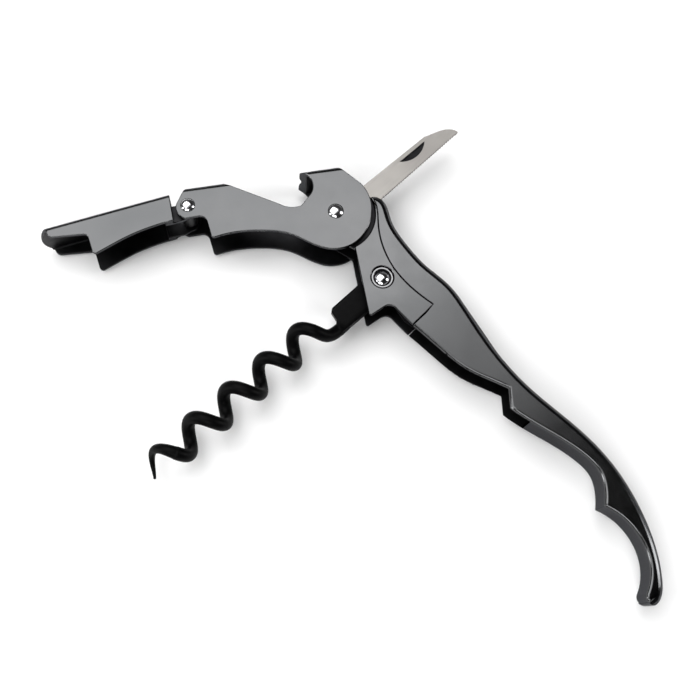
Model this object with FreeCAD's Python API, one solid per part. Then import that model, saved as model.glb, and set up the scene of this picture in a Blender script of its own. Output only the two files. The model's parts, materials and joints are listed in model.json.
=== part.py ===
import FreeCAD, Part
import math
import os

# Waiter's corkscrew, opened out and lying on its side. Millimetres throughout.
# X runs along the opened tool, Y towards the spine of the handle, Z across the sheet metal.
# Each moving body is drawn in a frame of its own and then turned to its rest angle about +Z.

V = FreeCAD.Vector

# Rest angles, measured from +X.
HANDLE_ANGLE = -54.84
LEVER_ANGLE = 179.45
END_ANGLE = 195.68
WORM_ANGLE = 222.65
BLADE_ANGLE = 43.0

# Pivot spacing.
MAIN_TO_WORM = 19.0
MAIN_TO_HINGE = 34.2

# Widths across the tool, half values from the middle plane.
LEVER_OUT = 5.8
LEVER_IN = 4.8
HANDLE_OUT = 4.55
HANDLE_IN = 3.55
LEAF_IN = 2.75
EAR_OUT = 3.95
EAR_IN = 2.95
NECK_OUT = 4.35
NECK_IN = 3.35

# Rivets.
MAIN_R = 1.5
WORM_PIN_R = 1.25
HINGE_R = 1.4
RUN = 0.05
HEAD_R = 1.85
HEAD_H = 0.75
SEAT_R = 2.7

# Worm.
WIRE_R = 1.5
COIL_R = 2.9
PITCH = 10.4
COIL_START = 17.9
COIL_AXIS_Y = -1.55
WORM_TIP = 68.2
EYE_R = 3.2
EYE_LOW = -2.2
EYE_HIGH = 0.6

# Blade.
BLADE_LOW = 1.0
BLADE_HIGH = 2.0
BLADE_LENGTH = 38.3

# Handle shell.
SPINE_WALL = 1.3
SPINE_CHAMFER = 1.2
SLOT_LOW = 0.5
SLOT_HIGH = 2.5
SEAM = 0.15


def p(x, y, z=0.0):
    return V(x, y, z)


def line(a, b):
    return Part.LineSegment(p(*a), p(*b)).toShape()


def arc(a, m, b):
    return Part.Arc(p(*a), p(*m), p(*b)).toShape()


def curve(points):
    spline = Part.BSplineCurve()
    spline.interpolate([p(*q) for q in points])
    return spline.toShape()


def plate(edges, low, high):
    """A flat plate with the given outline, from z = low to z = high."""
    wire = Part.Wire(Part.__sortEdges__(edges))
    face = Part.Face(wire)
    face.translate(V(0, 0, low))
    return face.extrude(V(0, 0, high - low))


def polygon(points, low, high):
    ring = [p(*q) for q in points]
    ring.append(ring[0])
    face = Part.Face(Part.makePolygon(ring))
    face.translate(V(0, 0, low))
    return face.extrude(V(0, 0, high - low))


def disc(x, y, r, low, high):
    return Part.makeCylinder(r, high - low, V(x, y, low))


def ring(x, y, outer, inner, low, high):
    return disc(x, y, outer, low, high).cut(disc(x, y, inner, low, high))


def mirrored(shape):
    """The same piece on the far side of the middle plane."""
    return shape.mirror(V(0, 0, 0), V(0, 0, 1))


def dome(x, y, r, height, base):
    """A domed rivet head standing on z = base."""
    ball = (r * r + height * height) / (2 * height)
    sphere = Part.makeSphere(ball, V(x, y, base + height - ball))
    return sphere.common(disc(x, y, r, base, base + height))


def rivet(x, y, shaft, head, height, base):
    """A through rivet with a formed head at each end."""
    body = disc(x, y, shaft, -base, base)
    top = dome(x, y, head, height, base)
    return body.fuse([top, mirrored(top)]).removeSplitter()


def channel(start, end, half_out, half_in, depth, bend):
    """A bent sheet channel whose web runs from start to end and whose cheeks go down by depth."""
    length = math.hypot(end[0] - start[0], end[1] - start[1])
    angle = math.degrees(math.atan2(end[1] - start[1], end[0] - start[0]))
    outer = bar(length, depth, half_out, 0.0, bend)
    inner = bar(length, depth, half_in, half_out - half_in, max(bend - 1.0, 0.3))
    solid = outer.cut(inner)
    solid.rotate(V(0, 0, 0), V(0, 0, 1), angle)
    solid.translate(p(*start))
    return solid


def bar(length, depth, half, low, bend):
    """A bar along X from y = low to y = depth, with its two edges at y = low rounded."""
    k = bend * math.sqrt(0.5)
    points = [V(0, depth, -half), V(0, low + bend, -half), V(0, low + bend - k, -half + bend - k)]
    points += [V(0, low, -half + bend), V(0, low, half - bend)]
    points += [V(0, low + bend - k, half - bend + k), V(0, low + bend, half), V(0, depth, half)]
    edges = [Part.LineSegment(points[0], points[1]).toShape()]
    edges.append(Part.Arc(points[1], points[2], points[3]).toShape())
    edges.append(Part.LineSegment(points[3], points[4]).toShape())
    edges.append(Part.Arc(points[4], points[5], points[6]).toShape())
    edges.append(Part.LineSegment(points[6], points[7]).toShape())
    edges.append(Part.LineSegment(points[7], points[0]).toShape())
    return Part.Face(Part.Wire(edges)).extrude(V(length, 0, 0))


# ---------------------------------------------------------------- handle body
# Frame: origin on the main pivot, +X through the worm pivot towards the tail, +Y to the spine.

SEAM_POINTS = [(1.0, 9.45), (4.2, 9.0), (7.5, 7.0), (13.0, 4.45), (20.0, 3.5), (27.0, 4.6), (30.9, 5.9)]


def seam_curve(shift):
    """The joint line between bracket and shell, moved towards the spine by shift."""
    return [(x, y + shift) for x, y in SEAM_POINTS]


def bracket():
    """Stamped side plate: flush plate, ear set inwards round the main pivot, leaf inside the shell."""
    reach = 9.45
    upper = seam_curve(0.0)
    upper[0] = (1.0, math.sqrt(reach * reach - 1.0))
    left = (9.4, -math.sqrt(reach * reach - 9.4 * 9.4))
    middle = (reach * math.sqrt(0.5), reach * math.sqrt(0.5))
    edges = [curve(upper)]
    edges.append(line(upper[-1], (31.5, 3.2)))
    edges.append(line((31.5, 3.2), (32.2, -0.9)))
    edges.append(line((32.2, -0.9), (27.2, -1.7)))
    edges.append(arc((27.2, -1.7), (25.7, -2.3), (25.1, -3.8)))
    edges.append(line((25.1, -3.8), (25.1, -7.1)))
    edges.append(arc((25.1, -7.1), (24.9, -7.6), (24.3, -7.6)))
    edges.append(line((24.3, -7.6), left))
    edges.append(arc(left, middle, upper[0]))
    body = plate(edges, HANDLE_IN, HANDLE_OUT)
    tongue = [line((9.9, -1.1), (2.0, -4.9)), arc((2.0, -4.9), (-4.6, -2.6), (-3.6, 3.9))]
    tongue += [line((-3.6, 3.9), (1.4, 9.6)), line((1.4, 9.6), (3.4, 9.2))]
    tongue += [arc((3.4, 9.2), (7.2, 6.8), (9.9, 2.0)), line((9.9, 2.0), (9.9, -1.1))]
    ear = plate(tongue, EAR_IN, EAR_OUT)
    leaf = polygon([(21, 0.4), (29, 0.4), (34.5, 2.4), (35, 7.6), (29, 7.6), (22, 5.5)], LEAF_IN, HANDLE_IN)
    boss = disc(MAIN_TO_WORM, 0, SEAT_R + 0.6, LEAF_IN, HANDLE_IN)
    body = body.fuse([ear, leaf, boss]).removeSplitter()
    body = body.cut(disc(MAIN_TO_WORM, 0, SEAT_R, HANDLE_IN, HANDLE_OUT))
    body = body.cut(disc(MAIN_TO_WORM, 0, WORM_PIN_R, LEAF_IN, HANDLE_OUT))
    return body.cut(disc(0, 0, MAIN_R, EAR_IN, EAR_OUT))


SPINE_POINTS = [(1.6, 11.1), (3.4, 11.8), (8.5, 10.5), (15.0, 9.95), (22.0, 10.6), (29.0, 12.3), (36.0, 12.3)]
SPINE_POINTS += [(47.0, 11.75), (59.0, 12.95), (72.0, 16.3), (83.0, 17.9), (95.0, 16.8), (106.0, 13.1)]
SPINE_POINTS += [(112.6, 8.7)]


def spine_curve(shift, first, last):
    return [(x, y - shift) for x, y in SPINE_POINTS[first:last]]


def shell_outline():
    seam = seam_curve(SEAM)
    seam[0] = (0.9, 9.75)
    edges = [curve(seam)]
    edges.append(line(seam[-1], (31.7, 3.3)))
    edges.append(line((31.7, 3.3), (32.4, -0.9)))
    edges.append(curve([(32.4, -0.9), (40.0, 0.9), (48.0, 3.4), (53.0, 6.3), (56.5, 8.4)]))
    edges.append(line((56.5, 8.4), (60.3, 6.0)))
    edges.append(curve([(60.3, 6.0), (66.0, 8.2), (72.5, 11.2), (78.2, 13.3), (82.8, 13.9), (86.5, 12.5), (89.7, 9.9)]))
    edges.append(curve([(89.7, 9.9), (93.0, 11.5), (98.5, 12.3), (104.0, 11.0), (109.4, 6.1)]))
    edges.append(arc((109.4, 6.1), (111.5, 5.0), (113.0, 6.5)))
    edges.append(line((113.0, 6.5), SPINE_POINTS[-1]))
    edges.append(curve(SPINE_POINTS))
    edges.append(line(SPINE_POINTS[0], seam[0]))
    return edges


def shell_widths():
    """The shell seen from the spine: parallel over the nest, narrowing to a rounded tail."""
    edges = [line((-2, -HANDLE_OUT), (52, -HANDLE_OUT)), line((-2, HANDLE_OUT), (52, HANDLE_OUT))]
    edges.append(line((-2, -HANDLE_OUT), (-2, HANDLE_OUT)))
    edges.append(line((52, HANDLE_OUT), (110.2, 3.5)))
    edges.append(line((52, -HANDLE_OUT), (110.2, -3.5)))
    edges.append(arc((110.2, 3.5), (113.7, 0.0), (110.2, -3.5)))
    slab = plate(edges, -20, 5)
    slab.rotate(V(0, 0, 0), V(1, 0, 0), 90)
    return slab


def spine_edges(body):
    """The two long edges where the flanks meet the spine."""
    chosen = []
    for edge in body.Edges:
        b = edge.BoundBox
        if b.ZMin * b.ZMax > 9.0 and b.XLength > 40.0 and b.YMin > 8.5 and b.YMax > 11.5:
            chosen.append(edge)
    return chosen


def handle_shell():
    """Cast shell: open nest towards the worm, open back by the blade root, solid curved tail."""
    body = plate(shell_outline(), -HANDLE_OUT, HANDLE_OUT)
    body = body.common(shell_widths())
    body = body.makeChamfer(SPINE_CHAMFER, spine_edges(body))
    floor = [curve(spine_curve(SPINE_WALL, 3, 9)), line((15.0, 8.65), (15.0, -5.0))]
    floor += [line((59.0, 11.65), (64.5, 11.6)), line((64.5, 11.6), (68.0, -5.0))]
    floor.append(line((68.0, -5.0), (15.0, -5.0)))
    nest = plate(floor, -HANDLE_IN, HANDLE_IN)
    back = polygon([(-3, -5), (24.0, -5), (24.0, 14), (-3, 14)], -HANDLE_IN, HANDLE_IN)
    slot = polygon([(20, 5), (37.8, 5), (37.8, 14), (20, 14)], SLOT_LOW, SLOT_HIGH)
    return body.cut(nest).cut(back).cut(slot)


# ---------------------------------------------------------------- worm
# Frame: origin on the worm pivot, +X along the worm towards its point.

def coil_point(turn):
    """A point on the coil's centre line, turn in radians from its first crest."""
    x = COIL_START + PITCH * turn / (2 * math.pi)
    return V(x, COIL_AXIS_Y + COIL_R * math.cos(turn), COIL_R * math.sin(turn))


def worm():
    middle = (EYE_LOW + EYE_HIGH) / 2
    edges = [arc((0, EYE_R), (-EYE_R, 0), (0, -EYE_R)), line((0, -EYE_R), (12.7, -2.9))]
    edges += [arc((12.7, -2.9), (13.15, -2.6), (13.3, -2.1)), line((13.3, -2.1), (13.6, -0.3))]
    edges += [line((13.6, -0.3), (14.6, 0.5)), line((14.6, 0.5), (14.6, 2.9))]
    edges += [line((14.6, 2.9), (0, EYE_R))]
    shank = plate(edges, EYE_LOW, EYE_HIGH)
    last = 2 * math.pi * (WORM_TIP - COIL_START) / PITCH
    taper = last - 1.3 * math.pi
    steps = 60
    points = [V(12.5, 1.7, middle), V(15.6, 1.8, middle + 0.1), V(18.4, 1.25, 0.9)]
    first = 1.35
    points += [coil_point(first + (taper - first) * i / steps) for i in range(steps + 1)]
    spine = Part.BSplineCurve()
    spine.interpolate(points)
    rod = tube(spine.toShape(), WIRE_R, WIRE_R)
    root = taper - 0.15
    tail = Part.BSplineCurve()
    tail.interpolate([coil_point(root + (last - root) * i / 12) for i in range(13)])
    point = tube(tail.toShape(), WIRE_R - 0.01, 0.3)
    body = shank.fuse(rod.fuse(point))
    return body.cut(disc(0, 0, WORM_PIN_R + RUN, EYE_LOW, EYE_HIGH))


def tube(path, first, last):
    """A round wire along path, with radius first at its start and last at its end."""
    profiles = []
    for t, r in ((path.FirstParameter, first), (path.LastParameter, last)):
        circle = Part.makeCircle(r, path.valueAt(t), path.tangentAt(t))
        profiles.append(Part.Wire([circle]))
    return Part.Wire([path]).makePipeShell(profiles, True, False)


# ---------------------------------------------------------------- blade
# Frame: origin on the main pivot, +X along the blade, cutting edge on the -Y side.

def blade():
    edges = [arc((0, 3.0), (-3.0, 0), (0, -3.0)), line((0, -3.0), (7.5, -3.0))]
    edges += [line((7.5, -3.0), (9.0, -3.85)), line((9.0, -3.85), (BLADE_LENGTH, -3.2))]
    edges += [curve([(BLADE_LENGTH, -3.2), (37.5, -1.6), (35.2, -0.1), (31.0, 1.3)])]
    edges += [line((31.0, 1.3), (7.0, 1.6)), line((7.0, 1.6), (0, 3.0))]
    body = plate(edges, BLADE_LOW, BLADE_HIGH)
    nick = plate([line((21.8, 0.4), (30.2, 0.4)), arc((21.8, 0.4), (26.0, -1.3), (30.2, 0.4))], 1.5, 2.1)
    body = body.cut(nick)
    for i in range(34):
        x = 12.4 + 0.75 * i
        y = -3.85 + 0.65 * (x - 9.0) / (BLADE_LENGTH - 9.0)
        body = body.cut(disc(x, y - 0.35, 0.5, BLADE_LOW, BLADE_HIGH))
    return body.cut(disc(0, 0, MAIN_R + RUN, BLADE_LOW, BLADE_HIGH))


# ---------------------------------------------------------------- upper lever
# Frame: origin on the main pivot, +X to the hinge rivet, web on the -Y side.

def upper_lever():
    hook = (9.4, -9.85)
    top = (-0.4, -11.65)
    elbow = (26.4, -6.1)
    end = (35.2, -4.37)
    edges = [line(top, (-5.9, -7.4)), arc((-5.9, -7.4), (-7.95, -4.0), (-8.4, 0.0))]
    edges += [arc((-8.4, 0.0), (-8.0, 2.6), (-6.9, 4.9)), arc((-6.9, 4.9), (-3.8, 8.2), (1.2, 9.4))]
    edges += [curve([(1.2, 9.4), (5.2, 8.3), (10.0, 6.2), (16.5, 5.5), (22.5, 6.1), (27.5, 7.6)])]
    edges += [arc((27.5, 7.6), (28.1, 7.6), (28.5, 7.1)), line((28.5, 7.1), (29.5, 4.0))]
    edges += [arc((29.5, 4.0), (30.2, 2.9), (31.4, 2.6)), line((31.4, 2.6), (34.5, 3.3))]
    edges += [arc((34.5, 3.3), (36.6, 1.7), (36.6, -0.9)), line((36.6, -0.9), end), line(end, elbow)]
    edges += [line(elbow, (13.0, -1.3)), arc((13.0, -1.3), (10.3, -0.65), (8.0, -1.2))]
    edges += [line((8.0, -1.2), (6.3, -3.6)), arc((6.3, -3.6), (5.4, -6.1), (6.4, -8.6))]
    edges += [arc((6.4, -8.6), (7.6, -9.5), hook), line(hook, top)]
    profile = plate(edges, -LEVER_OUT, LEVER_OUT)
    web = channel((-3.0, -12.23), (42.0, -3.06), LEVER_OUT, LEVER_IN, 25.0, 1.5)
    cheeks = polygon([(-12, -14), (-2.98, -14), (-2.98, -2.0), (40, 3), (40, 14), (-12, 14)], LEVER_IN, LEVER_OUT)
    body = profile.common(web.fuse([cheeks, mirrored(cheeks)]))
    body = body.cut(polygon([(10.0, -12), (26.2, -8.0), (26.2, -1), (10.0, -1)], -LEVER_IN, LEVER_IN))
    lip = Part.makeCylinder(3.6, 6.0, V(11.7, -13.3, 0), V(0, 1, 0))
    body = body.cut(lip)
    for x, r in ((0.0, MAIN_R + RUN), (MAIN_TO_HINGE, HINGE_R)):
        body = body.cut(disc(x, 0, r, -LEVER_OUT, LEVER_OUT))
    return body


# ---------------------------------------------------------------- end lever
# Frame: origin on the hinge rivet, +X to the tip, web on the -Y side.

def end_lever():
    root = (3.5, -4.0)
    tip = (34.3, -2.25)
    edges = [line(root, tip), line(tip, (34.3, -1.2)), line((34.3, -1.2), (32.4, -1.1))]
    edges += [arc((32.4, -1.1), (32.0, 0.0), (31.0, 0.5)), line((31.0, 0.5), (24.6, 1.4))]
    edges += [arc((24.6, 1.4), (23.8, 1.75), (23.5, 2.5)), line((23.5, 2.5), (23.3, 5.7))]
    edges += [arc((23.3, 5.7), (22.9, 6.5), (22.0, 6.5))]
    edges += [curve([(22.0, 6.5), (18.6, 5.4), (14.0, 4.1), (9.0, 3.25), (4.0, 2.85)])]
    edges += [line((4.0, 2.85), root)]
    profile = plate(edges, -LEVER_OUT, LEVER_OUT)
    web = channel((1.0, -4.16), (37.0, -2.12), LEVER_OUT, LEVER_IN, 20.0, 1.5)
    body = profile.common(web)
    rounding = Part.makeCylinder(8.75, 30, V(25.55, -15, 0), V(0, 1, 0))
    keep = Part.makeBox(24.9, 30, 20, V(0, -15, -10))
    body = body.common(keep.fuse(rounding))
    edges = [arc((0.9, -2.35), (-2.5, 0), (0, 2.5)), line((0, 2.5), (2.0, 3.0)), line((2.0, 3.0), (6.0, 3.0))]
    edges += [line((6.0, 3.0), (6.0, -1.2)), line((6.0, -1.2), (2.4, -1.2)), line((2.4, -1.2), (0.9, -2.35))]
    neck = plate(edges, NECK_IN, NECK_OUT)
    joggle = polygon([(4.2, -1.2), (6.0, -1.2), (6.0, 3.0), (4.2, 2.9)], NECK_IN, LEVER_OUT)
    side = neck.fuse(joggle)
    body = body.fuse([side, mirrored(side)]).removeSplitter()
    return body.cut(disc(0, 0, HINGE_R + RUN, -NECK_OUT, NECK_OUT))


# ---------------------------------------------------------------- assembly

def placed(shape, angle, x=0.0, y=0.0):
    """A copy turned to its rest angle with its own pivot at x, y."""
    copy = shape.copy()
    copy.rotate(V(0, 0, 0), V(0, 0, 1), angle)
    copy.translate(V(x, y, 0))
    return copy


def on_handle(shape):
    return placed(shape, HANDLE_ANGLE)


def on_lever(shape):
    return placed(shape, LEVER_ANGLE)


lever_turn = math.radians(LEVER_ANGLE)
hinge_x = MAIN_TO_HINGE * math.cos(lever_turn)
hinge_y = MAIN_TO_HINGE * math.sin(lever_turn)
handle_turn = math.radians(HANDLE_ANGLE)
worm_x = MAIN_TO_WORM * math.cos(handle_turn)
worm_y = MAIN_TO_WORM * math.sin(handle_turn)

near_plate = bracket()
seat = ring(MAIN_TO_WORM, 0, 2.5, 2.1, HANDLE_IN, HANDLE_OUT - 0.35)
pivot_washer = ring(0, 0, 2.8, MAIN_R, EAR_OUT, LEVER_IN - RUN)
hinge_washer = ring(MAIN_TO_HINGE, 0, 2.3, HINGE_R, NECK_OUT + RUN, LEVER_IN)

nodes = {}
nodes["handle_shell"] = on_handle(handle_shell())
nodes["bracket_near"] = on_handle(near_plate)
nodes["bracket_far"] = on_handle(mirrored(near_plate))
nodes["pivot_rivet"] = on_handle(rivet(0, 0, MAIN_R, HEAD_R, HEAD_H, LEVER_OUT + RUN))
nodes["pivot_washer_near"] = on_handle(pivot_washer)
nodes["pivot_washer_far"] = on_handle(mirrored(pivot_washer))
nodes["blade_spacer_near"] = on_handle(ring(0, 0, 2.8, MAIN_R, BLADE_HIGH + RUN, EAR_IN))
nodes["blade_spacer_far"] = on_handle(ring(0, 0, 2.4, MAIN_R, -EAR_IN, BLADE_LOW - RUN))
nodes["worm_rivet"] = on_handle(rivet(MAIN_TO_WORM, 0, WORM_PIN_R, HEAD_R, 0.8, HANDLE_IN))
nodes["worm_seat_near"] = on_handle(seat)
nodes["worm_seat_far"] = on_handle(mirrored(seat))
nodes["worm_spacer"] = on_handle(ring(MAIN_TO_WORM, 0, 1.65, WORM_PIN_R, EYE_HIGH + RUN, LEAF_IN))
nodes["worm_washer"] = on_handle(ring(MAIN_TO_WORM, 0, 2.6, WORM_PIN_R, -LEAF_IN, EYE_LOW - RUN))
nodes["worm"] = placed(worm(), WORM_ANGLE, worm_x, worm_y)
nodes["blade"] = placed(blade(), BLADE_ANGLE)
nodes["upper_lever"] = on_lever(upper_lever())
nodes["hinge_rivet"] = on_lever(rivet(MAIN_TO_HINGE, 0, HINGE_R, 1.7, 0.7, LEVER_OUT))
nodes["hinge_washer_near"] = on_lever(hinge_washer)
nodes["hinge_washer_far"] = on_lever(mirrored(hinge_washer))
nodes["hinge_spacer"] = on_lever(ring(MAIN_TO_HINGE, 0, 1.8, HINGE_R, -NECK_IN + RUN, NECK_IN - RUN))
nodes["end_lever"] = placed(end_lever(), END_ANGLE, hinge_x, hinge_y)

# The origin is the centre of the bottom of the whole tool's bounding box.
box = Part.makeCompound(list(nodes.values())).optimalBoundingBox(False, False)
shift = V(-(box.XMin + box.XMax) / 2, -(box.YMin + box.YMax) / 2, -box.ZMin)
os.makedirs("parts", exist_ok=True)
for name, shape in nodes.items():
    shape.translate(shift)
    shape.exportStep("parts/" + name + ".step")
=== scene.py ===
import json
import math

import bmesh
import bpy
from mathutils import Matrix, Vector
from mathutils.bvhtree import BVHTree


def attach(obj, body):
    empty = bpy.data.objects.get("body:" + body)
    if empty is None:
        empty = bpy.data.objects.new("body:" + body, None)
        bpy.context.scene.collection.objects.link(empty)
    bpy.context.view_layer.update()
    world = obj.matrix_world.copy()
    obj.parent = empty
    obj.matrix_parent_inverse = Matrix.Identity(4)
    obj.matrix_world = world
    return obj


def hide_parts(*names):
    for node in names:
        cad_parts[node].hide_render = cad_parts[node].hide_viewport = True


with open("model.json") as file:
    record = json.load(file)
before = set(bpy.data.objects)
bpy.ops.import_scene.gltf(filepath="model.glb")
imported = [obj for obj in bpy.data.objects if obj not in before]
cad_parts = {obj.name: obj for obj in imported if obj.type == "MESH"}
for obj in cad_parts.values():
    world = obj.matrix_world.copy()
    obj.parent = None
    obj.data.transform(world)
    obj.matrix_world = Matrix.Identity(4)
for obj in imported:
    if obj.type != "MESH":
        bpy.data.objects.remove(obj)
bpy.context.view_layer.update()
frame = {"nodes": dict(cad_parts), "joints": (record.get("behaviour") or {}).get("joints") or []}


# ---- Upper lever ---------------------------------------------------------------------------
# The half of the boot lever next to the handle: one piece of 1 mm sheet folded into a channel,
# with a stepped foot and the bottle opener's claw. Blanked, bent, tumbled to break its corners,
# then plated black nickel like the rest of the frame. Lengths are in metres.
MIDDLE = frame["joints"][0]["pos_m"][2]  # the height of the tool's middle plane

MERGE = 0.000001                         # points closer than this are one point
FLAT = math.radians(0.6)                 # triangles within this angle are one face
CORNER = math.radians(28)                # and past this one they meet at a corner
STRAY = 0.6                              # a rounding's most distance off the old surface, in widths
SHEET_BREAK = 0.00022                    # the rounding of a sheet's edges

RECESS = 0.00445                         # flat faces nearer the middle plane are set in
REACH = 0.012                            # how far apart the walls of a channel can be
FLAT_ON = 0.9                            # the least Z part of a normal that faces along Z
UPRIGHT = 0.5                            # and the most of one that faces across it


def from_frame(name, node):
    """A new piece with the form that the frame gives a node, its triangles joined into faces."""
    mesh = frame["nodes"][node].data.copy()
    mesh.name = name
    mesh.materials.clear()
    bm = bmesh.new()
    bm.from_mesh(mesh)
    bmesh.ops.remove_doubles(bm, verts=bm.verts, dist=MERGE)
    bmesh.ops.dissolve_limit(bm, angle_limit=FLAT, verts=bm.verts, edges=bm.edges)
    return mesh, bm


def corners(bm, low, high=math.pi):
    """The edges at which two faces meet at an angle between low and high."""
    found = []
    for edge in bm.edges:
        if len(edge.link_faces) == 2 and low < edge.calc_face_angle() <= high:
            found.append(edge)
    return found


def break_corners(bm, edges, width, segments, held=False):
    """Rounds edges as tumbling and polishing do, held back at short edges where asked. A corner
    that the rounding throws off the surface goes back to it."""
    before = BVHTree.FromBMesh(bm)
    bmesh.ops.bevel(
        bm, geom=edges, offset=width, offset_type="OFFSET", affect="EDGES",
        segments=segments, profile=0.5, material=-1, clamp_overlap=held,
    )
    for vert in bm.verts:
        nearest, _, _, distance = before.find_nearest(vert.co)
        if distance > width * STRAY:
            vert.co = nearest


def shaded_channel_faces(bm, recess):
    """The faces inside a channel or hollow, which take painted shade. They look at its middle,
    or are set in, or stand between its walls, which a ray to each side then meets."""
    tree = BVHTree.FromBMesh(bm)
    found = []
    for face in bm.faces:
        place = face.calc_center_median()
        inward = face.normal.z * (place.z - MIDDLE) < -0.001
        recessed = abs(face.normal.z) > FLAT_ON and abs(place.z - MIDDLE) < recess
        between = False
        if abs(face.normal.z) < UPRIGHT:
            start = place + face.normal * 0.00001
            ways = [face.normal * 0.4 + Vector((0.0, 0.0, side)) for side in (1.0, -1.0)]
            between = all(tree.ray_cast(start, way, REACH)[0] for way in ways)
        if inward or recessed or between:
            found.append(face)
    return found


def finished(name, mesh, bm, materials, dull, body, slot, *nodes):
    """Puts a piece in the scene, riding on its body in place of its nodes. The dull faces take
    the second of its materials, a painted shade."""
    for face in bm.faces:
        face.smooth = True
        face.material_index = 0
    for face in dull:
        face.material_index = 1
    bmesh.ops.recalc_face_normals(bm, faces=bm.faces)
    for material in materials:
        mesh.materials.append(material)
    bm.to_mesh(mesh)
    bm.free()
    piece = bpy.data.objects.new(name, mesh)
    bpy.context.scene.collection.objects.link(piece)
    even = piece.modifiers.new("even shading", "WEIGHTED_NORMAL")
    even.mode = "FACE_AREA"
    even.weight = 100
    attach(piece, body)
    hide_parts(*nodes)


def new_finish(name):
    """An empty material, with its tree, its shader and its object coordinates."""
    material = bpy.data.materials.new(name)
    material.use_nodes = True
    tree = material.node_tree
    shader = tree.nodes["Principled BSDF"]
    place = tree.nodes.new("ShaderNodeTexCoord").outputs["Object"]
    return material, tree, shader, place


def mottle(tree, place, scale, detail=3.0, stretch=None):
    """A noise of so many blotches to the metre, drawn out along an axis where stretch says so."""
    if stretch:
        drawn = tree.nodes.new("ShaderNodeMapping")
        drawn.inputs["Scale"].default_value = stretch
        tree.links.new(place, drawn.inputs["Vector"])
        place = drawn.outputs["Vector"]
    noise = tree.nodes.new("ShaderNodeTexNoise")
    noise.inputs["Scale"].default_value = scale
    noise.inputs["Detail"].default_value = detail
    tree.links.new(place, noise.inputs["Vector"])
    return noise.outputs["Fac"]


def spread(tree, value, low, high, start=0.3, end=0.7):
    """Stretches a noise over a range of numbers."""
    span = tree.nodes.new("ShaderNodeMapRange")
    span.inputs["From Min"].default_value = start
    span.inputs["From Max"].default_value = end
    span.inputs["To Min"].default_value = low
    span.inputs["To Max"].default_value = high
    tree.links.new(value, span.inputs["Value"])
    return span.outputs["Result"]


def blend_tones(tree, value, dark, light):
    """Goes from one tone to another as value goes from 0 to 1."""
    mix = tree.nodes.new("ShaderNodeMix")
    mix.data_type = "RGBA"
    mix.inputs[6].default_value = (*dark, 1.0)
    mix.inputs[7].default_value = (*light, 1.0)
    tree.links.new(value, mix.inputs[0])
    return mix.outputs[2]


def relief(tree, shader, height, depth, strength, under=None):
    """Gives a surface fine relief."""
    bump = tree.nodes.new("ShaderNodeBump")
    bump.inputs["Strength"].default_value = strength
    bump.inputs["Distance"].default_value = depth
    tree.links.new(height, bump.inputs["Height"])
    if under:
        tree.links.new(under, bump.inputs["Normal"])
    tree.links.new(bump.outputs["Normal"], shader.inputs["Normal"])
    return bump.outputs["Normal"]


def black_nickel(name, dark, light):
    """Polished black nickel plate, with faint waves from the polishing wheel."""
    material, tree, shader, place = new_finish(name)
    shader.inputs["Metallic"].default_value = 1.0
    shader.inputs["Specular Tint"].default_value = (0.4, 0.4, 0.41, 1.0)
    tone = spread(tree, mottle(tree, place, 45.0), 0.0, 1.0)
    body = blend_tones(tree, tone, dark, light)
    tree.links.new(body, shader.inputs["Base Color"])
    haze = spread(tree, mottle(tree, place, 260.0, 5.0), 0.16, 0.22)
    tree.links.new(haze, shader.inputs["Roughness"])
    waves = relief(tree, shader, mottle(tree, place, 70.0, 1.0), 0.0002, 0.05)
    lines = mottle(tree, place, 900.0, 4.0, (1.0, 12.0, 1.0))
    relief(tree, shader, lines, 0.00002, 0.06, waves)
    return material


def painted_shade_finish(name):
    """Painted shade for the faces inside the channels: the plate made matt and painted nearly
    black, as dark as the shade that falls there.
    """
    material, tree, shader, place = new_finish(name)
    shader.inputs["Metallic"].default_value = 1.0
    tone = spread(tree, mottle(tree, place, 150.0, 4.0), 0.0, 1.0)
    body = blend_tones(tree, tone, (0.010, 0.010, 0.011), (0.022, 0.022, 0.023))
    tree.links.new(body, shader.inputs["Base Color"])
    haze = spread(tree, mottle(tree, place, 500.0, 5.0), 0.34, 0.5)
    tree.links.new(haze, shader.inputs["Roughness"])
    relief(tree, shader, mottle(tree, place, 1400.0, 4.0), 0.00004, 0.3)
    return material


gunmetal = black_nickel("black nickel plate", (0.082, 0.084, 0.086), (0.100, 0.101, 0.103))
# The second finish is painted shade: a near-black matt plate for the faces inside the channels.
painted_shade = painted_shade_finish("unpolished black plate")

mesh, bm = from_frame("upper_lever_sheet", "upper_lever")
break_corners(bm, corners(bm, CORNER), SHEET_BREAK, 2)
# Faces inside the channel take the near-black painted shade.
finished("upper_lever_sheet", mesh, bm, (gunmetal, painted_shade), shaded_channel_faces(bm, RECESS),
         "lever", "gunmetal", "upper_lever")


# ---- End lever -----------------------------------------------------------------------------
# The outer half of the boot lever, hinged on the upper lever's end. The same sheet, folded the
# same way, with its neck set in between the upper lever's cheeks and the long toe at its end.
mesh, bm = from_frame("end_lever_sheet", "end_lever")
break_corners(bm, corners(bm, CORNER), SHEET_BREAK, 2)
# Faces inside the channel take the near-black painted shade.
finished("end_lever_sheet", mesh, bm, (gunmetal, painted_shade), shaded_channel_faces(bm, RECESS),
         "end", "gunmetal", "end_lever")


# ---- Side plates ---------------------------------------------------------------------------
# Two pressed plates that carry the main pivot and the worm's pivot, let into the head of the
# handle shell along a curved seam. Each is blanked from sheet and plated with the rest.
for side in ("near", "far"):
    name = "side_plate_" + side
    mesh, bm = from_frame(name, "bracket_" + side)
    break_corners(bm, corners(bm, CORNER), SHEET_BREAK, 2)
    # Faces set in or inside take the near-black painted shade.
    finished(name, mesh, bm, (gunmetal, painted_shade), shaded_channel_faces(bm, RECESS),
             "handle", "gunmetal", "bracket_" + side)


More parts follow.
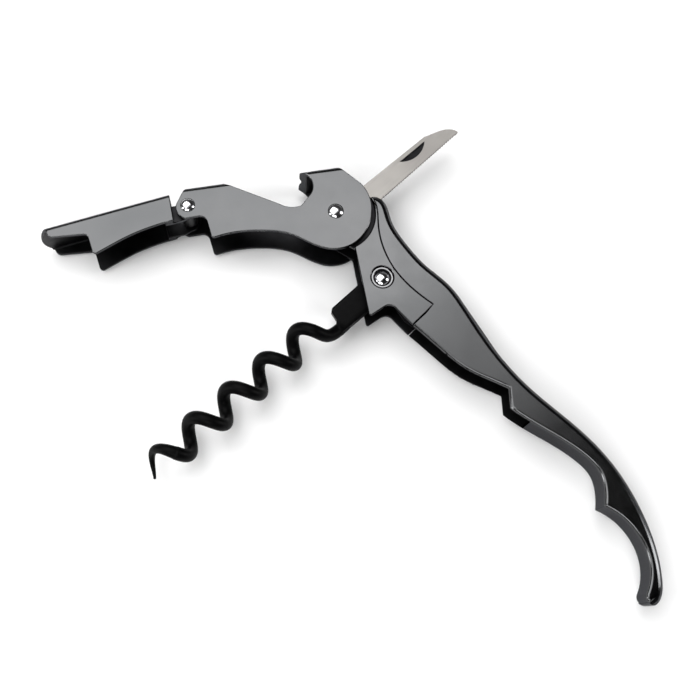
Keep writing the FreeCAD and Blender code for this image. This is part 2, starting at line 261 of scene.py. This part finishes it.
# ---- Handle shell --------------------------------------------------------------------------
# The long curved body of the handle, cast and polished, open along its inner side for the worm
# and slotted along its spine for the blade. The spine and the tail are rounded by polishing.
SPINE_ROUND = 0.0006     # at both edges of the sloped faces beside the spine
FLANK_ROUND = 0.00075    # round the flanks on the inner side
CAST_BREAK = 0.00012     # at every other corner
STEEP = math.radians(60)
SHARP = math.radians(50)
SLOPED = 0.3             # the least Z part of a sloped face's normal
PAST_PLATES = 0.0328     # how far from the main pivot the side plates end
FLANK_LEAST = 0.0033     # a flank's height over the middle plane, at its least
SLOPE_LEAST = 0.0029     # and a sloped face's

main_pivot = Vector(frame["joints"][0]["pos_m"])
worm_pivot = Vector(frame["joints"][2]["pos_m"])
handle_way = (worm_pivot - main_pivot).normalized()


def along_handle(edge):
    """How far down the handle from the main pivot an edge lies."""
    middle = (edge.verts[0].co + edge.verts[1].co) / 2
    return (middle - main_pivot).dot(handle_way)


def flank_rim(edge):
    """Whether an edge bounds a flank on the shell's inner side, past the side plates."""
    if along_handle(edge) < PAST_PLATES:
        return False
    if any(abs(v.co.z - MIDDLE) <= FLANK_LEAST for v in edge.verts):
        return False
    flank = False
    for face in edge.link_faces:
        out = face.calc_center_median().z - MIDDLE
        if abs(face.normal.z) > FLAT_ON and face.normal.z * out > 0:
            flank = True
        if SLOPED < abs(face.normal.z) < FLAT_ON and abs(out) > SLOPE_LEAST:
            return False
    return flank


def beside_slope(edge):
    """Whether an edge bounds one of the sloped faces beside the spine."""
    return any(SLOPED < abs(f.normal.z) < FLAT_ON for f in edge.link_faces)


mesh, bm = from_frame("handle_casting", "handle_shell")
slopes = [e for e in corners(bm, CORNER, STEEP) if beside_slope(e)]
break_corners(bm, slopes, SPINE_ROUND, 4)
rims = [e for e in corners(bm, STEEP) if flank_rim(e)]
break_corners(bm, rims, FLANK_ROUND, 4)
break_corners(bm, corners(bm, SHARP), CAST_BREAK, 2)
# Faces inside the shell's hollow take the near-black painted shade.
finished("handle_casting", mesh, bm, (gunmetal, painted_shade), shaded_channel_faces(bm, 0.0),
         "handle", "gunmetal", "handle_shell")


# ---- Rivets and the worm rivet's seats ------------------------------------------------------
# Three solid steel rivets, headed over to low domes at both ends and left bright. The worm's
# rivet sits in a turned ring at each side, flush with the plates.
RING_BREAK = 0.00008


def bright_steel(name, low, high, tone):
    """Turned steel of a given tone, its gloss broken by a fine grain."""
    material, tree, shader, place = new_finish(name)
    shader.inputs["Metallic"].default_value = 1.0
    body = blend_tones(tree, spread(tree, mottle(tree, place, 300.0), 0.0, 1.0),
                       tuple(0.86 * c for c in tone), tone)
    tree.links.new(body, shader.inputs["Base Color"])
    haze = spread(tree, mottle(tree, place, 1500.0, 4.0), low, high)
    tree.links.new(haze, shader.inputs["Roughness"])
    relief(tree, shader, mottle(tree, place, 2200.0, 3.0), 0.00001, 0.15)
    return material


rivet_steel = bright_steel("bright rivet steel", 0.12, 0.24, (0.78, 0.78, 0.80))

for name, body in (("pivot_rivet", "handle"), ("worm_rivet", "handle"), ("hinge_rivet", "lever")):
    mesh, bm = from_frame(name + "_domed", name)
    finished(name + "_domed", mesh, bm, (rivet_steel,), (), body, "rivet_steel", name)

ring_steel = bright_steel("turned ring steel", 0.2, 0.3, (0.24, 0.24, 0.245))
for name in ("worm_seat_near", "worm_seat_far"):
    mesh, bm = from_frame(name + "_ring", name)
    break_corners(bm, corners(bm, CORNER), RING_BREAK, 2)
    finished(name + "_ring", mesh, bm, (ring_steel,), (), "handle", "rivet_steel", name)


# ---- Washers and spacers -------------------------------------------------------------------
# Stamped and turned rings that keep the worm, the blade and the levers in line on their rivets.
# The steel is darkened and left dull.
WASHER_BREAK = 0.00006

washer_steel = bright_steel("dull washer steel", 0.30, 0.45, (0.05, 0.05, 0.052))

washers = {
    "pivot_washer_near": "handle", "pivot_washer_far": "handle",
    "blade_spacer_near": "handle", "blade_spacer_far": "handle",
    "worm_spacer": "handle", "worm_washer": "handle",
    "hinge_washer_near": "lever", "hinge_washer_far": "lever", "hinge_spacer": "lever",
}
for name, body in washers.items():
    mesh, bm = from_frame(name + "_turned", name)
    break_corners(bm, corners(bm, CORNER), WASHER_BREAK, 2)
    finished(name + "_turned", mesh, bm, (washer_steel,), (), body, "washer_steel", name)


# ---- Worm ----------------------------------------------------------------------------------
# Steel wire wound to a helix and ground to a point, its shank pressed into a flat eye. It has a
# black non-stick coating, which is satin rather than glossy.
def worm_black(name):
    """A thin baked coating with a faint orange-peel."""
    material, tree, shader, place = new_finish(name)
    tone = spread(tree, mottle(tree, place, 200.0), 0.0, 1.0)
    tree.links.new(blend_tones(tree, tone, (0.0008, 0.0008, 0.0009), (0.0018, 0.0018, 0.002)),
                   shader.inputs["Base Color"])
    shader.inputs["Specular IOR Level"].default_value = 0.05
    haze = spread(tree, mottle(tree, place, 1200.0, 4.0), 0.36, 0.5)
    tree.links.new(haze, shader.inputs["Roughness"])
    relief(tree, shader, mottle(tree, place, 1800.0, 3.0), 0.00003, 0.25)
    return material


coating = worm_black("black worm coating")
mesh, bm = from_frame("worm_wire", "worm")
finished("worm_wire", mesh, bm, (coating,), (), "worm_body", "worm_coating", "worm")


# ---- Foil blade ----------------------------------------------------------------------------
# A 1 mm blade of stainless strip, blanked, ground with a fine serrated edge, and brushed along
# its length. A crescent nick takes the fingernail, and its floor and walls take painted shade.
BLADE_BREAK = 0.00005
BLADE_REST = math.radians(43)  # the blade's angle from +X as it stands opened
NICK_START = 0.0001            # the depths, under the blade's face, of the middles of
NICK_WALL = 0.00045            # the nick's walls, which lie between the first two,
NICK_FLOOR = 0.0006            # and of its floor, which lies above the third


def brushed_steel(name, angle):
    """Stainless strip brushed along the blade."""
    material, tree, shader, place = new_finish(name)
    shader.inputs["Metallic"].default_value = 1.0
    turned = tree.nodes.new("ShaderNodeMapping")
    turned.inputs["Rotation"].default_value = (0.0, 0.0, -angle)
    tree.links.new(place, turned.inputs["Vector"])
    along = turned.outputs["Vector"]
    tone = spread(tree, mottle(tree, along, 60.0), 0.0, 1.0)
    tree.links.new(blend_tones(tree, tone, (0.21, 0.20, 0.19), (0.26, 0.25, 0.235)),
                   shader.inputs["Base Color"])
    lines = mottle(tree, along, 300.0, 5.0, (1.0, 30.0, 1.0))
    tree.links.new(spread(tree, lines, 0.28, 0.42), shader.inputs["Roughness"])
    relief(tree, shader, lines, 0.00002, 0.25)
    return material


blade_steel = brushed_steel("brushed blade steel", BLADE_REST)
mesh, bm = from_frame("foil_blade", "blade")
break_corners(bm, corners(bm, CORNER), BLADE_BREAK, 1, held=True)
blade_top = max(v.co.z for v in bm.verts)
# The nick's walls and floor take the near-black painted shade.
nick = []
for face in bm.faces:
    depth = blade_top - face.calc_center_median().z
    if NICK_START < depth < (NICK_FLOOR if face.normal.z > FLAT_ON else NICK_WALL):
        nick.append(face)
finished("foil_blade", mesh, bm, (blade_steel, painted_shade), nick,
         "blade_body", "blade_steel", "blade")


# ---- Floor ---------------------------------------------------------------------------------
# A plain pale sweep under the tool, matt, with a trace of paper grain.
FLOOR_HALF = 3.0

material, tree, shader, place = new_finish("pale paper")
grain = spread(tree, mottle(tree, place, 40.0), 0.0, 1.0)
tree.links.new(blend_tones(tree, grain, (0.93, 0.93, 0.93), (0.95, 0.95, 0.95)),
               shader.inputs["Base Color"])
shader.inputs["Roughness"].default_value = 0.9
shader.inputs["Specular IOR Level"].default_value = 0.1
bm = bmesh.new()
bmesh.ops.create_grid(bm, x_segments=1, y_segments=1, size=FLOOR_HALF)
mesh = bpy.data.meshes.new("paper_sweep")
bm.to_mesh(mesh)
bm.free()
mesh.materials.append(material)
floor = bpy.data.objects.new("paper_sweep", mesh)
bpy.context.scene.collection.objects.link(floor)


# ---- Lights --------------------------------------------------------------------------------
# One big softbox overhead towards the spine side, which the levers mirror and the tail doesn't,
# a dimmer strip at its edge, where the handle's tone falls off, smaller boxes that draw the
# bright lines on the rounded corners, and dim walls that darken overhead.
def softbox(name, place, aim, size, radiance, turn=0.0):
    """A rectangular light of a given brightness, facing a point, turned about its own axis."""
    lamp = bpy.data.lights.new(name, "AREA")
    lamp.shape = "RECTANGLE"
    lamp.size, lamp.size_y = size
    lamp.energy = radiance * math.pi * size[0] * size[1]
    holder = bpy.data.objects.new(name, lamp)
    way = (Vector(aim) - Vector(place)).to_track_quat("-Z", "Y")
    holder.matrix_world = (
        Matrix.Translation(place) @ way.to_matrix().to_4x4() @ Matrix.Rotation(turn, 4, "Z")
    )
    bpy.context.scene.collection.objects.link(holder)


softbox("overhead box", (-0.495, 0.495, 0.9), (-0.495, 0.4951, 0.0), (1.2, 1.2), 3.4,
        math.radians(45))
softbox("overhead fringe", (0.0, 0.0, 0.9), (0.0, 0.0001, 0.0), (1.2, 0.2), 1.3,
        math.radians(45))
softbox("front box", (-0.25, -0.85, 0.85), (0.0, 0.0, 0.0), (0.9, 0.35), 6.0)
softbox("left strip", (-1.1, -0.3, 0.35), (0.0, 0.0, 0.0), (0.25, 0.9), 8.0)
softbox("right strip", (1.1, 0.1, 0.4), (0.0, 0.0, 0.0), (0.25, 0.9), 8.0)

world = bpy.data.worlds.new("studio")
world.use_nodes = True
sky = world.node_tree
height = sky.nodes.new("ShaderNodeSeparateXYZ")
sky.links.new(sky.nodes.new("ShaderNodeTexCoord").outputs["Generated"], height.inputs[0])
walls = sky.nodes.new("ShaderNodeMapRange")
walls.inputs["From Min"].default_value = 0.35
walls.inputs["From Max"].default_value = 0.62
walls.inputs["To Min"].default_value = 1.1
walls.inputs["To Max"].default_value = 0.04
sky.links.new(height.outputs["Z"], walls.inputs["Value"])
sky.links.new(walls.outputs["Result"], sky.nodes["Background"].inputs["Strength"])
bpy.context.scene.world = world
bpy.context.scene.view_settings.view_transform = "Standard"


# ---- Camera --------------------------------------------------------------------------------
# Above the tool and a little towards its inner side, close enough for some perspective.
eye = main_pivot + Vector((-0.013143, -0.095927, 0.220015))
right = Vector((0.997061, 0.0, 0.076609))
up = Vector((-0.021337, 0.960429, 0.277706))
back = right.cross(up)
camera_data = bpy.data.cameras.new("camera")
camera_data.lens = 51.43
camera_data.sensor_width = 36.0
camera_data.clip_start = 0.01
camera = bpy.data.objects.new("camera", camera_data)
camera.matrix_world = Matrix.Translation(eye) @ Matrix((right, up, back)).transposed().to_4x4()
bpy.context.scene.collection.objects.link(camera)
bpy.context.scene.camera = camera


# ---- Last update ---------------------------------------------------------------------------
bpy.context.view_layer.update()
